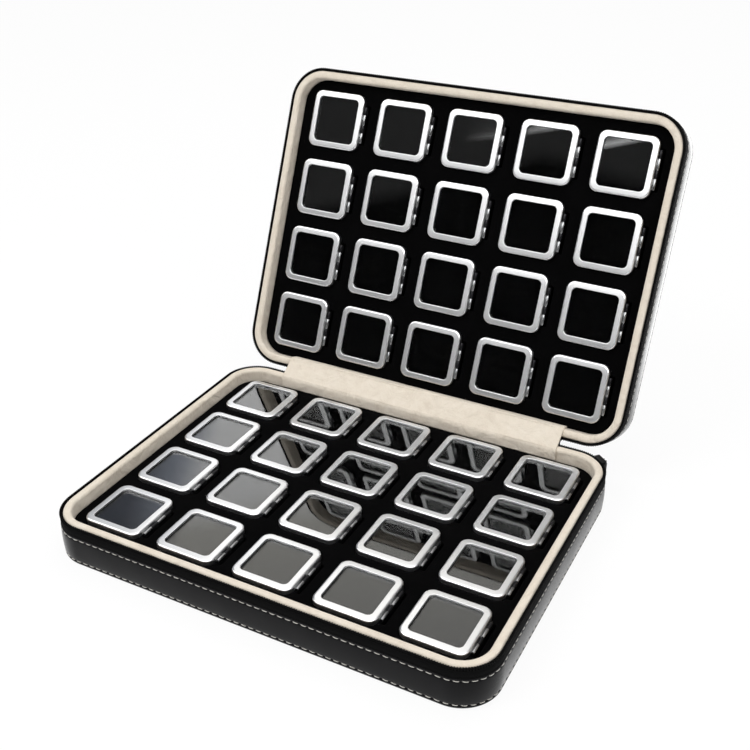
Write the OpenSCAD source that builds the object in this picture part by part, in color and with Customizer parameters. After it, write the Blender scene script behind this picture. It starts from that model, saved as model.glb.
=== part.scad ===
// Mineral specimen box: a zip case in two equal halves, each with a foam tray of small hinged
// gem boxes. The front is at -Y, the spine at +Y, and the base rests on Z = 0 with its lid open.

/* [Gem box] */
// Outer side of one gem box
box_side = 40; // [38:0.5:46]
// Height of one gem box
box_h = 16; // [14:0.5:20]
// Corner radius of a gem box
box_r = 5.8; // [5:0.2:8]
// Width of the bright bar round the window
frame_bar = 4.2; // [3.4:0.1:6]
// Thickness of that bar
frame_top_t = 1.4; // [1:0.1:1.6]
// Height of the parting line above the foam, so that the frame opens clear of it
part_rise = 0.1; // [0.1:0.1:0.5]
// Rounding of the frame's upper outer edge
frame_round = 1.2; // [0.6:0.1:1.3]
// Corner radius of the window opening
window_r = 3.2; // [2:0.1:5]
// Thickness of the window
glass_t = 1.2; // [0.8:0.1:1.4]
// Wall and floor of the tray, and wall of the frame
tray_wall = 1.4; // [1:0.1:2]
// Free height between the pad and the window
pad_gap = 1; // [0.6:0.1:1.2]
// Thickness of the hinge barrel
barrel_d = 2; // [1.8:0.1:2.4]
// Thickness of the hinge pin
pin_d = 0.8; // [0.6:0.1:1]
// Length of one of the frame's two hinge knuckles
frame_knuckle_l = 7; // [5:0.1:7.5]
// Length of one of the tray's two hinge knuckles
tray_knuckle_l = 5.3; // [4:0.1:6]
// How far the hinge's middle lies from the box's middle, towards the back
hinge_shift = -0.7; // [-1.5:0.1:1.5]

/* [Layout] */
// Foam between two columns of gem boxes
gap_x = 12.8; // [10:0.2:18]
// Foam between two rows of gem boxes
gap_y = 9.4; // [6:0.2:14]
// Foam between the outer columns and the lining
edge_x = 10.2; // [8:0.2:18]
// Foam between the outer rows and the lining
edge_y = 7.7; // [6:0.2:14]
// Foam under each gem box
foam_floor = 4; // [3:0.5:8]
// How far the frames stand above the foam
frame_proud = 4; // [2.5:0.1:4.2]
// Rounding of the foam's upper edge
foam_round = 2.4; // [1:0.2:4]
// Width of the cut in the foam beside each hinge
notch_w = 3.6; // [3.2:0.1:5]

/* [Case] */
// Outer corner radius of the case
corner_r = 24; // [18:1:34]
// Thickness of the padded wall
shell_t = 5.6; // [5:0.1:8]
// Thickness of the padded floor
shell_floor = 2.4; // [2:0.2:5]
// Rounding of the outer bottom edge
bottom_round = 2; // [1:0.2:2.2]
// Thickness of the lining
lining_t = 1.6; // [1:0.1:2.4]
// How far the rim stands above the frames
rim_clear = 4.4; // [3.6:0.1:8]
// Height of the lining's rolled rim
roll_h = 2.4; // [2.2:0.1:3]
// Rounding of the rolled rim
roll_round = 2; // [1:0.1:2.2]
// Opening angle at rest, from closed
open_angle = 113.5; // [60:0.5:178]

/* [Zip] */
// Height of the tape from the leather's edge to the rim
zip_band = 7.4; // [6:0.2:9]
// Thickness of the tape
tape_t = 0.8; // [0.5:0.1:1]
// Thickness of the coil
coil_d = 2; // [1.6:0.1:2.2]
// Gap between the two rims when closed
zip_gap = 2; // [1.8:0.1:3]
// Half length of the spine, where the zip stops
spine_half = 105; // [60:1:112]
// Where the slider is parked on the corner, from the back
slider_angle = 40; // [34:1:60]
// Length of the slider
slider_l = 9; // [7:0.5:11]
// Length of the pull
pull_l = 22; // [14:1:23]
// Width of the pull
pull_w = 6; // [5:0.5:9]

/* [Seams] */
// Depth of a seam's groove
seam_depth = 0.3; // [0.2:0.1:0.5]
// Height of a seam's groove
seam_h = 0.8; // [0.5:0.1:1.2]
// Upper seam, below the leather's edge
seam_upper = 1.4; // [1:0.1:3]
// Lower seam, above the bottom
seam_lower = 3; // [2.8:0.1:5]

/* [Hidden] */
$fn = 48;
cols = 5;
rows = 4;
// the row whose boxes have a frame of their own
open_row = 4;
fit = 0.1;
// thin gap that parts two pieces of one gem box
seat = 0.05;
pocket_fit = 0.3;
bore_fit = 0.05;
knuckle_fit = 0.25;

pitch_x = box_side + gap_x;
pitch_y = box_side + gap_y;
wall_t = shell_t + lining_t;
case_w = cols * box_side + (cols - 1) * gap_x + 2 * (edge_x + wall_t);
case_d = rows * box_side + (rows - 1) * gap_y + 2 * (edge_y + wall_t);
box_z = shell_floor + lining_t + foam_floor;
frame_z = box_z + box_h;
foam_z = frame_z - frame_proud;
half_h = frame_z + rim_clear;
leather_z = half_h - zip_band;
// the tape lies in a step of the wall, flush with the leather
step_t = tape_t + 0.2;
rim_in = coil_d + 0.2;
hinge_y = case_d / 2 + 0.8;
hinge_z = half_h + zip_gap / 2;
coil_z = half_h + 0.1 - coil_d / 2;
parting_z = box_h - frame_proud + part_rise;
pin_z = parting_z + seat + barrel_d / 2;
barrel_x = box_side / 2 + barrel_d / 2 + fit;
glass_z = box_h - frame_top_t - glass_t;
pad_z = glass_z - pad_gap;
// the knuckles alternate from the back: tray, frame, tray, frame
hinge_l = 2 * (tray_knuckle_l + frame_knuckle_l) + 3 * knuckle_fit;
hinge_back = hinge_shift + hinge_l / 2;
knuckle_pitch = tray_knuckle_l + frame_knuckle_l + 2 * knuckle_fit;
tray_knuckle_y = hinge_back - tray_knuckle_l / 2;
frame_knuckle_y = hinge_back - tray_knuckle_l - knuckle_fit - frame_knuckle_l / 2;
corner_x = case_w / 2 - corner_r;
corner_y = case_d / 2 - corner_r;
cover_t = step_t;
// the leather's fold reaches both strips of the cover
fold_r = norm([hinge_y - case_d / 2 + cover_t / 2, hinge_z - half_h]);
roll_mid = (rim_in + wall_t) / 2;
eye_x = 2.8;
eye_z = half_h - 2;

leather = [0.09, 0.09, 0.10];
cream = [0.90, 0.85, 0.76];
foam_black = [0.03, 0.03, 0.03];
metal = [0.80, 0.81, 0.82];
zip_black = [0.05, 0.05, 0.06];

function box_name(half, r, c) = str(half, "_box_r", r, "c", c);
CASE = ["base_shell", "base_lining", "base_foam", "base_zip_tape", "base_zip_coil",
        "lid_shell", "lid_lining", "lid_foam", "lid_zip_tape", "lid_zip_coil",
        "spine_cover", "spine_lining", "zip_slider", "zip_pull"];
BOXES = [for (half = ["base", "lid"], r = [1:rows], c = [1:cols]) box_name(half, r, c)];
FRAMES = [for (c = [1:cols]) str(box_name("base", open_row, c), "_frame")];

// A rectangle with round corners, about the origin
module rounded(w, d, r) {
  square([w - 2 * r, d], center = true);
  square([w, d - 2 * r], center = true);
  for (x = [-1, 1], y = [-1, 1])
    translate([x * (w / 2 - r), y * (d / 2 - r)]) circle(r);
}

// A plate of that outline, from z0 to z1
module plate(w, d, r, z0, z1) {
  translate([0, 0, z0]) linear_extrude(z1 - z0) rounded(w, d, r);
}

// Sweeps a section round a rounded rectangle: its x is the inset from the outside, its y the height
module sweep(w, d, r) {
  for (k = [0, 2]) {
    rotate([0, 0, 90 * k]) translate([w / 2 - r, d / 2 - r]) rotate_extrude(angle = 90)
      translate([r, 0]) mirror([1, 0]) children();
    rotate([0, 0, 90 * k]) translate([r - w / 2, d / 2 - r]) rotate([0, 0, 90])
      rotate_extrude(angle = 90) translate([r, 0]) mirror([1, 0]) children();
    rotate([0, 0, 90 * k]) translate([w / 2, d / 2 - r, 0]) rotate([90, 0, 0])
      linear_extrude(d - 2 * r) mirror([1, 0]) children();
    rotate([0, 0, 90 * k]) translate([r - w / 2, d / 2, 0]) rotate([90, 0, 90])
      linear_extrude(w - 2 * r) mirror([1, 0]) children();
  }
}

// A box section whose upper corner at x0, and if asked also the one at x1, is round
module section(x0, x1, y0, y1, r, both = false) {
  translate([x0, y0]) square([x1 - x0, y1 - y0 - r]);
  translate([x0 + r, y0]) square([x1 - x0 - (both ? 2 : 1) * r, y1 - y0]);
  intersection() {
    translate([x0, y0]) square([x1 - x0, y1 - y0]);
    union() {
      translate([x0 + r, y1 - r]) circle(r);
      if (both)
        translate([x1 - r, y1 - r]) circle(r);
    }
  }
}

// Section of the padded wall, with its step for the tape and its two seam grooves
module shell_section() {
  difference() {
    union() {
      difference() {
        square([shell_t, leather_z]);
        square([bottom_round, bottom_round]);
      }
      translate([bottom_round, bottom_round]) circle(bottom_round);
      translate([step_t, leather_z - 1]) square([shell_t - step_t, half_h - roll_h - leather_z + 1]);
    }
    translate([-1, leather_z - seam_upper - seam_h / 2]) square([1 + seam_depth, seam_h]);
    translate([-1, seam_lower - seam_h / 2]) square([1 + seam_depth, seam_h]);
  }
}

// Section of the lining: its wall and its rolled rim
module lining_section() {
  translate([shell_t, shell_floor]) square([lining_t, half_h - roll_h - shell_floor + 0.1]);
  section(rim_in, wall_t, half_h - roll_h, half_h, roll_round, both = true);
}

// The two halves are alike: everything below is drawn in the frame of a half, open side up
module half_shell() {
  sweep(case_w, case_d, corner_r) shell_section();
  plate(case_w - 2 * bottom_round, case_d - 2 * bottom_round, corner_r - bottom_round, 0, shell_floor);
}

module half_lining() {
  sweep(case_w, case_d, corner_r) lining_section();
  plate(case_w - 2 * shell_t, case_d - 2 * shell_t, corner_r - shell_t,
        shell_floor, shell_floor + lining_t);
}

// Cuts the spine's length out of what runs round the other three sides, with the spine at +Y
module without_spine() {
  difference() {
    children();
    translate([-spine_half, case_d / 2 - corner_r / 2, 0]) cube([2 * spine_half, corner_r, 2 * half_h]);
  }
}

module half_tape() {
  without_spine()
    sweep(case_w, case_d, corner_r)
      translate([step_t - tape_t, leather_z]) square([tape_t, coil_z - leather_z]);
}

module half_coil() {
  without_spine()
    sweep(case_w, case_d, corner_r)
      difference() {
        translate([coil_d / 2, coil_z]) circle(d = coil_d);
        translate([step_t - tape_t, coil_z - coil_d]) square([tape_t, coil_d]);
      }
}

// One pocket of the foam, with the cut beside the hinge
module pocket() {
  side = box_side + 2 * pocket_fit;
  rounded(side, side, box_r + pocket_fit);
  translate([0, hinge_back - hinge_l - 1]) square([box_side / 2 + notch_w, hinge_l + 2]);
}

module half_foam() {
  inset = wall_t + fit;
  core = inset + corner_r / 4;
  difference() {
    union() {
      sweep(case_w, case_d, corner_r)
        section(inset, inset + corner_r / 3, shell_floor + lining_t, foam_z, foam_round);
      plate(case_w - 2 * core, case_d - 2 * core, corner_r - core, shell_floor + lining_t, foam_z);
    }
    for (r = [1:rows], c = [1:cols])
      translate([box_x(c), box_y(r), box_z]) linear_extrude(box_h) pocket();
  }
}

// Where the boxes stand: row 1 is next to the spine, column 1 is on the left
function box_x(c) = (c - (cols + 1) / 2) * pitch_x;
function box_y(r) = ((rows + 1) / 2 - r) * pitch_y;

// A gem box, drawn with its underside at Z = 0 and its hinge at +X
module knuckle(y, l) {
  translate([barrel_x, y + l / 2, pin_z]) rotate([90, 0, 0]) cylinder(d = barrel_d, h = l);
}

module pin_bore() {
  translate([barrel_x, hinge_back + 1, pin_z]) rotate([90, 0, 0])
    cylinder(r = pin_d / 2 + bore_fit, h = hinge_l + 2);
}

module tray() {
  difference() {
    union() {
      difference() {
        plate(box_side, box_side, box_r, 0, parting_z);
        plate(box_side - 2 * tray_wall, box_side - 2 * tray_wall, box_r - tray_wall,
              tray_wall, box_h);
      }
      for (y = [tray_knuckle_y, tray_knuckle_y - knuckle_pitch]) {
        knuckle(y, tray_knuckle_l);
        // the leaf goes out below the frame and up to the knuckle
        translate([box_side / 2 - tray_wall / 2, y - tray_knuckle_l / 2, parting_z - barrel_d / 2])
          cube([tray_wall / 2 + fit + barrel_d, tray_knuckle_l, barrel_d / 2]);
        translate([barrel_x - barrel_d / 2, y - tray_knuckle_l / 2, parting_z - barrel_d / 2])
          cube([barrel_d, tray_knuckle_l, pin_z - parting_z + barrel_d / 2]);
      }
    }
    pin_bore();
  }
}

module pad() {
  side = box_side - 2 * tray_wall - 2 * fit;
  plate(side, side, box_r - tray_wall - fit, tray_wall + seat, pad_z);
}

module hinge_pin() {
  translate([barrel_x, hinge_back, pin_z]) rotate([90, 0, 0]) cylinder(d = pin_d, h = hinge_l);
}

module window() {
  side = box_side - 2 * tray_wall - 2 * fit;
  plate(side, side, box_r - tray_wall - fit, glass_z, glass_z + glass_t - seat);
}

module box_frame() {
  open = box_side - 2 * frame_bar;
  inner = box_side - 2 * tray_wall;
  difference() {
    union() {
      sweep(box_side, box_side, box_r)
        section(0, 0.75 * box_r, parting_z + seat, box_h, frame_round);
      plate(box_side - box_r, box_side - box_r, box_r / 2, parting_z + seat, box_h);
      for (y = [frame_knuckle_y, frame_knuckle_y - knuckle_pitch]) {
        knuckle(y, frame_knuckle_l);
        translate([box_side / 2 - tray_wall / 2, y - frame_knuckle_l / 2, parting_z + seat])
          cube([tray_wall / 2 + fit + barrel_d / 2, frame_knuckle_l, barrel_d / 2]);
      }
    }
    plate(open, open, window_r, 0, box_h + 1);
    plate(inner, inner, box_r - tray_wall, 0, box_h - frame_top_t);
    pin_bore();
  }
}

// The lower part of a box, which lifts out of the foam
module box_bottom() {
  color(metal) tray();
  color(foam_black) pad();
  color(metal) hinge_pin();
}

module box_top() {
  color(metal) box_frame();
  color([0.6, 0.7, 0.72, 0.4]) window();
}

module gem_box() {
  box_bottom();
  box_top();
}

// Places: the base stands where it is drawn, the lid turns about the hinge line
module in_lid() {
  translate([0, hinge_y, hinge_z]) rotate([180 - open_angle, 0, 0])
    translate([0, hinge_y, -hinge_z]) children();
}

module lid_half() {
  in_lid() mirror([0, 1, 0]) children();
}

module base_shell() { color(leather) half_shell(); }
module base_lining() { color(cream) half_lining(); }
module base_foam() { color(foam_black) half_foam(); }
module base_zip_tape() { color(zip_black) half_tape(); }
module base_zip_coil() { color(zip_black) half_coil(); }
module lid_shell() { color(leather) lid_half() half_shell(); }
module lid_lining() { color(cream) lid_half() half_lining(); }
module lid_zip_tape() { color(zip_black) lid_half() half_tape(); }
module lid_zip_coil() { color(zip_black) lid_half() half_coil(); }

// The lid's foam isn't mirrored, because its boxes lie the same way round
module lid_foam() { color(foam_black) in_lid() half_foam(); }

// Section of a half at the spine, in Y and Z
module at_back() {
  translate([case_d / 2, 0]) mirror([1, 0]) children();
}

// The same for the lid at rest, turned about the hinge line
module lid_back() {
  translate([hinge_y, hinge_z]) rotate(180 - open_angle) translate([-hinge_y, -hinge_z])
    translate([2 * hinge_y, 0]) mirror([1, 0]) at_back() children();
}

module cover_strip() {
  translate([0, leather_z]) square([cover_t, half_h - leather_z]);
}

module cover() {
  along_spine() at_back() cover_strip();
  along_spine() lid_back() cover_strip();
  along_spine() translate([hinge_y, hinge_z]) circle(r = fold_r);
}

// A point at the back of a half, by its inset and height, and the same one on the lid at rest
function back_point(u, z) = [case_d / 2 - u, z];
function lid_point(u, z) =
  let (a = 180 - open_angle, y = hinge_y - case_d / 2 + u, h = z - hinge_z)
  [hinge_y + y * cos(a) - h * sin(a), hinge_z + y * sin(a) + h * cos(a)];

// The lining's strip spans both rims and runs down inside both walls to the foam
module strip_outline() {
  section(cover_t, wall_t + lining_t, foam_z + 0.3, hinge_z, roll_round, both = true);
}

// Joins the two rims across the fold, and sinks a little into both
module bridge() {
  low = hinge_z - 0.2;
  polygon([back_point(roll_mid, low), back_point(roll_mid, hinge_z), lid_point(roll_mid, hinge_z),
           lid_point(roll_mid, low), [hinge_y, hinge_z]]);
}

module strip() {
  difference() {
    union() {
      along_spine() at_back() strip_outline();
      along_spine() lid_back() strip_outline();
      along_spine() bridge();
    }
    cover();
    along_spine() at_back() half_blank();
    along_spine() lid_back() half_blank();
  }
}

// What the halves themselves fill at the spine
module half_blank() {
  translate([cover_t, 0]) square([shell_t, half_h - roll_h]);
  square([cover_t, half_h]);
  translate([cover_t, 0]) square([rim_in - cover_t, half_h]);
  lining_section();
}

module along_spine() {
  translate([-spine_half, 0, 0]) rotate([90, 0, 90]) linear_extrude(2 * spine_half) children();
}

module spine_cover() { color(leather) cover(); }
module spine_lining() { color(cream) strip(); }

// The slider, drawn with X outward from the case's wall and Y along the zip
module at_slider() {
  translate([corner_x, corner_y, 0]) rotate([0, 0, 90 - slider_angle]) translate([corner_r, 0, 0])
    children();
}

module zip_slider() {
  plate_z = half_h - 5.6;
  top_z = half_h + 0.75;
  color(zip_black) at_slider() {
    translate([0.3, -slider_l / 2, plate_z]) cube([1.6, slider_l, top_z - plate_z]);
    translate([-coil_d, -slider_l / 2, half_h + 0.35]) cube([coil_d + 1, slider_l, 0.4]);
    difference() {
      translate([1.5, 1.4, eye_z]) rotate([90, 0, 0]) linear_extrude(2.8) {
        translate([0, -1.2]) square([eye_x - 1.5, 2.4]);
        translate([eye_x - 1.5, 0]) circle(1.2);
      }
      translate([eye_x, 2, eye_z]) rotate([90, 0, 0]) cylinder(d = 1.3, h = 4);
    }
  }
}

module zip_pull() {
  color(zip_black) at_slider() {
    translate([eye_x, pull_w / 2, eye_z]) rotate([90, 0, 0]) cylinder(d = 1, h = pull_w);
    difference() {
      translate([eye_x - 0.6, 0, 0]) rotate([90, 0, 90]) linear_extrude(1.2) {
        translate([-pull_w / 2, eye_z - pull_l + pull_w / 2]) square([pull_w, pull_l - pull_w / 2 + 0.6]);
        translate([0, eye_z - pull_l + pull_w / 2]) circle(pull_w / 2);
      }
      translate([0, -1.8, eye_z - 2.4]) cube([6, 3.6, 4]);
      translate([0, 0, eye_z - pull_l + pull_w / 2]) rotate([0, 90, 0]) cylinder(d = 2.4, h = 6);
    }
    translate([eye_x, 1.8, eye_z]) rotate([90, 0, 0]) cylinder(d = 1, h = 3.6);
  }
}

module base_box(r, c) {
  translate([box_x(c), box_y(r), box_z]) {
    if (r == open_row) box_bottom();
    else gem_box();
  }
}

module base_box_frame(c) {
  translate([box_x(c), box_y(open_row), box_z]) box_top();
}

module lid_box(r, c) {
  in_lid() translate([box_x(c), box_y(r), box_z]) gem_box();
}

base_shell();
base_lining();
base_foam();
base_zip_tape();
base_zip_coil();
lid_shell();
lid_lining();
lid_foam();
lid_zip_tape();
lid_zip_coil();
spine_cover();
spine_lining();
zip_slider();
zip_pull();
for (r = [1:rows], c = [1:cols]) {
  base_box(r, c);
  lid_box(r, c);
}
for (c = [1:cols])
  base_box_frame(c);
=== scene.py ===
import math
import bpy
import bmesh
import numpy as np
from mathutils import Matrix, Quaternion, Vector
from mathutils.geometry import delaunay_2d_cdt


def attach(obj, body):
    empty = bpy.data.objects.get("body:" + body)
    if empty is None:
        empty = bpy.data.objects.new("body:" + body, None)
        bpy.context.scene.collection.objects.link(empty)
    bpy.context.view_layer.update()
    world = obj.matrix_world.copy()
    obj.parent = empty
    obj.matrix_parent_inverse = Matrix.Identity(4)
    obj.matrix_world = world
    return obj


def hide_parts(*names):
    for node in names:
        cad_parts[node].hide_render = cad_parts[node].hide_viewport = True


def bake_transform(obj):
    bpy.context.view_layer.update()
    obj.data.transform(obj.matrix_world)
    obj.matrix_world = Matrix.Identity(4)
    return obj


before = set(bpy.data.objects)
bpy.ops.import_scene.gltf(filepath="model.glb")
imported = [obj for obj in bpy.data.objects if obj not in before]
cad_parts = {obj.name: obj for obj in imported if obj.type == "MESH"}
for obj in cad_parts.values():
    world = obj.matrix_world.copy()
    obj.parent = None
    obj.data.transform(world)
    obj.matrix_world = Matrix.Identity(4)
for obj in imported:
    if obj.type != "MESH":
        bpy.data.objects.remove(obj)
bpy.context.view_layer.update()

# Sizes in mm, as in part.scad
SIDE, BOX_H, BOX_R, BAR, TOP_T, GLASS_T, WALL = 40.0, 16.0, 5.8, 4.2, 1.4, 1.2, 1.4
PITCH_X, PITCH_Y, PROUD, SEAT, FIT = 52.8, 49.4, 4.0, 0.05, 0.1
BARREL, PIN, KNUCKLE_FIT, NOTCH_W = 2.0, 0.8, 0.25, 3.6
FRAME_KNUCKLE, TRAY_KNUCKLE, HINGE_SHIFT = 7.0, 5.3, -0.7
CASE_W, CASE_D, CASE_R = 286.0, 218.0, 24.0
SHELL_T, FLOOR, LINING, HALF_H = 5.6, 2.4, 1.6, 28.4
WALL_T = SHELL_T + LINING
BOX_Z, FOAM_Z, LEATHER_Z, RIM_IN = 8.0, 20.0, 21.0, 2.2
SPINE_Y, SPINE_Z, OPEN_DEGREES = 109.8, 29.4, 113.5
SPINE_HALF = 105.0
SEAMS = (3.0, 19.6)
BARREL_X = SIDE / 2 + BARREL / 2 + FIT
PARTING = BOX_H - PROUD + 0.1
PIN_Z = PARTING + SEAT + BARREL / 2
HINGE_L = 2 * (TRAY_KNUCKLE + FRAME_KNUCKLE) + 3 * KNUCKLE_FIT
HINGE_BACK = HINGE_SHIFT + HINGE_L / 2
HINGE_FRONT = HINGE_BACK - HINGE_L
KNUCKLE_PITCH = TRAY_KNUCKLE + FRAME_KNUCKLE + 2 * KNUCKLE_FIT
TRAY_BACKS = [HINGE_BACK - k * KNUCKLE_PITCH for k in (0, 1)]
TRAY_ENDS = [(y - TRAY_KNUCKLE, y) for y in TRAY_BACKS]
FRAME_ENDS = [(a - KNUCKLE_FIT - FRAME_KNUCKLE, a - KNUCKLE_FIT) for a, _ in TRAY_ENDS]
MM = 0.001

# LID takes a half with its spine on the -Y side to where the lid rests open; FLIP makes such a half
LID_TURN = math.radians(180 - OPEN_DEGREES)
LID = Matrix.Translation((0, SPINE_Y, SPINE_Z)) @ Matrix.Rotation(LID_TURN, 4, "X")
LID = LID @ Matrix.Translation((0, SPINE_Y, -SPINE_Z))
FLIP = Matrix.Diagonal((1, -1, 1, 1))
HALVES = {"base": Matrix.Identity(4), "lid": LID @ FLIP}  # walls, linings and zip are mirrored
CASE = {"base": Matrix.Identity(4), "lid": LID}  # foams and gem boxes are alike in both halves

# Sizes in mm that only the looks have
CAP_IN = 20.0  # how far in a wall's flat faces close, less than the corner radius
STITCH_L, THREAD_R, GROOVE = 4.9, 0.22, 0.30
SWELL, SWELL_Z, SWELL_H = 0.42, 3.75, 15.1
COIL_PITCH, COIL_STEPS, COIL_R, WIRE_R, CORE_R, COIL_IN, COIL_Z = 1.55, 10, 0.66, 0.34, 0.5, 1.02, 27.5
OPENING_R, FRAME_SLOPE = 3.2, 0.11
HOLE_DEPTH, HOLE_R = 0.13, 0.5
SEEDS = {"base": (11, 5, 31), "lid": (23, 17, 47)}  # of the random swell, creases and stitches
STITCH_SHARE = (0.72, 0.80)  # least and greatest part of its step that a stitch takes
OFF_ORIGIN = (1.37, 2.71, 0.53)  # moves a noise away from the origin, where all its octaves meet

# What metal and glass mirror: strengths, and places as parts of a direction of length 1
SOFTBOX_LIGHT, STREAK_LIGHT, WALL_LIGHT = 4.8, 4.6, 2.3
STREAK_SLOPE, STREAK_X, SECOND_X, SECOND_DROP = 0.43, -0.302, -0.267, 0.0214
AMBIENT, WHITE = 0.55, (1, 1, 1, 1)

# The floor's glow; in mirrors it grows from FAR_FROM to FAR_TO metres behind the middle
FLOOR_SHARE, FLOOR_GLOW, FAR_GLOW, FAR_FROM, FAR_TO = 0.9, 1.02, 2.0, 0.16, 0.36

# The camera of the photo, in metres
LENS, CAMERA_AT = 51.01, (0.269173, -0.467261, 0.415479)
CAMERA_TURN = (0.839876, 0.487512, 0.120249, 0.206109)


# Materials
class Tree:
    """Short calls for the nodes of a material's or the world's tree."""

    def __init__(self, tree):
        self.tree = tree

    def node(self, kind, ins=None, **props):
        n = self.tree.nodes.new(kind)
        for k, v in props.items():
            setattr(n, k, v)
        for k, v in (ins or {}).items():
            if isinstance(v, bpy.types.NodeSocket):
                self.tree.links.new(v, n.inputs[k])
            else:
                n.inputs[k].default_value = v
        return n

    def coords(self, scale=(1, 1, 1)):
        """Object coordinates, moved off the origin."""
        c = self.node("ShaderNodeTexCoord").outputs["Object"]
        ins = {"Vector": c, "Location": OFF_ORIGIN, "Scale": scale}
        return self.node("ShaderNodeMapping", ins).outputs[0]

    def noise(self, scale, detail=4.0, rough=0.55, vec=None, out="Fac", distort=0.0):
        ins = {"Vector": vec or self.coords(), "Scale": scale, "Detail": detail, "Roughness": rough}
        return self.node("ShaderNodeTexNoise", {**ins, "Distortion": distort}).outputs[out]

    def bands(self, scale, distort, direction, vec):
        ins = {"Vector": vec, "Scale": scale, "Distortion": distort}
        return self.node("ShaderNodeTexWave", ins, bands_direction=direction).outputs["Fac"]

    def ramp(self, fac, stops):
        n = self.node("ShaderNodeValToRGB", {"Fac": fac})
        e = n.color_ramp.elements
        while len(e) < len(stops):
            e.new(0.5)
        for el, (p, c) in zip(e, stops):
            el.position = p
            el.color = (*c, 1) if isinstance(c, tuple) else (c, c, c, 1)
        return n.outputs["Color"]

    def math(self, op, a, b=0.5, c=0.0, **props):
        return self.node("ShaderNodeMath", {0: a, 1: b, 2: c}, operation=op, **props).outputs[0]

    def vector(self, op, a, b):
        return self.node("ShaderNodeVectorMath", {0: a, 1: b}, operation=op).outputs["Vector"]

    def scaled(self, a, k):
        return self.node("ShaderNodeVectorMath", {0: a, "Scale": k}, operation="SCALE").outputs[0]

    def mixed(self, share, a, b):
        return self.node("ShaderNodeMixShader", {0: share, 1: a, 2: b}).outputs[0]

    def rise(self, value, start, end, **props):
        """0 up to start and 1 from end on."""
        ins = {"Value": value, "From Min": start, "From Max": end}
        return self.node("ShaderNodeMapRange", ins, **props).outputs[0]

    def span(self, fac, lo, hi):
        return self.node("ShaderNodeMapRange", {"Value": fac, "To Min": lo, "To Max": hi}).outputs[0]

    def bump(self, height, strength, distance, normal=None):
        ins = {"Height": height, "Strength": strength, "Distance": distance}
        if normal is not None:
            ins["Normal"] = normal
        return self.node("ShaderNodeBump", ins).outputs[0]


class Surface(Tree):
    """A material and its principled shader, with values for the shader's inputs."""

    def __init__(self, name, **values):
        self.material = bpy.data.materials.new(name)
        self.material.use_nodes = True
        super().__init__(self.material.node_tree)
        self.shader = self.tree.nodes["Principled BSDF"]
        for k, v in values.items():
            value = (*v, 1) if isinstance(v, tuple) else v
            self.shader.inputs[k.replace("_", " ")].default_value = value

    def link(self, out, name):
        self.tree.links.new(out, self.shader.inputs[name])


def leatherette():
    """Black leatherette: a fine pebbled grain with a thin shine."""
    n = Surface("leatherette", Specular_IOR_Level=0.07, Coat_Weight=0.9, Coat_IOR=1.13, Coat_Roughness=0.16)
    v = n.coords()
    warp = n.node("ShaderNodeMix", {"Factor": 0.0012, 6: v, 7: n.noise(900, 2, vec=v, out="Color")},
                  data_type="RGBA").outputs[2]
    cells = n.node("ShaderNodeTexVoronoi", {"Vector": warp, "Scale": 1150.0}, feature="DISTANCE_TO_EDGE")
    grain = n.ramp(cells.outputs[0], [(0.0, 0.0), (0.16, 0.75), (0.5, 1.0)])
    fine = n.noise(3800, 3, vec=v)
    broad = n.noise(70, 4, vec=v)
    n.link(n.ramp(broad, [(0.3, (0.0030, 0.0030, 0.0036)), (0.7, (0.0052, 0.0052, 0.0060))]), "Base Color")
    n.link(n.span(n.math("MULTIPLY", grain, broad), 0.36, 0.22), "Roughness")
    nb = n.bump(n.noise(45, 3, vec=v), 0.2, 0.0005)
    nb = n.bump(fine, 0.2, 0.00004, nb)
    n.link(n.bump(grain, 0.4, 0.00008, nb), "Normal")
    return n.material


def suede():
    """Cream suede: short fibres, a mottled nap and broad soft folds."""
    n = Surface("lining_suede", Roughness=0.92, Specular_IOR_Level=0.15, Sheen_Weight=0.35,
              Sheen_Roughness=0.45, Sheen_Tint=(1.0, 0.95, 0.88))
    v = n.coords()
    nap = n.noise(26, 5, 0.6, v, distort=0.6)
    fibre = n.noise(1500, 3, 0.7, n.coords((1, 1, 0.45)))
    soft = n.noise(150, 4, 0.6, v)
    tone = n.math("MULTIPLY_ADD", soft, 0.35, n.math("MULTIPLY", nap, 0.3))
    tone = n.math("MULTIPLY_ADD", fibre, 0.35, tone)
    shades = [(0.25, (0.61, 0.52, 0.425)), (0.48, (0.77, 0.69, 0.58)), (0.75, (0.86, 0.79, 0.69))]
    n.link(n.ramp(tone, shades), "Base Color")
    nb = n.bump(nap, 0.3, 0.0008)
    nb = n.bump(n.noise(75, 3, 0.5, v, distort=1.2), 0.5, 0.004, nb)
    n.link(n.bump(n.math("ADD", fibre, soft), 0.35, 0.00018, nb), "Normal")
    return n.material


def foam():
    """Black foam with a velvety pile."""
    n = Surface("foam_black", Roughness=0.95, Specular_IOR_Level=0.02)
    v = n.coords()
    pile = n.noise(2600, 3, 0.7, v)
    tone = n.math("MULTIPLY_ADD", pile, 0.6, n.math("MULTIPLY", n.noise(60, 3, vec=v), 0.4))
    shades = [(0.3, (0.0012, 0.0012, 0.0013)), (0.7, (0.0030, 0.0029, 0.0031))]
    n.link(n.ramp(tone, shades), "Base Color")
    n.link(n.bump(pile, 0.5, 0.00025), "Normal")
    return n.material


def metal(name, base, lo, hi, brushed=(1, 1, 1)):
    """Satin metal; lo and hi are its least and greatest roughness."""
    n = Surface(name, Metallic=1.0, Base_Color=base)
    v = n.coords()
    blotch = n.noise(140, 4, 0.6, v)
    line = n.noise(2400, 3, 0.6, n.coords(brushed))
    n.link(n.span(n.math("MULTIPLY_ADD", line, 0.4, n.math("MULTIPLY", blotch, 0.6)), lo, hi), "Roughness")
    n.link(n.bump(line, 0.06, 0.00003), "Normal")
    return n.material


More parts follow.
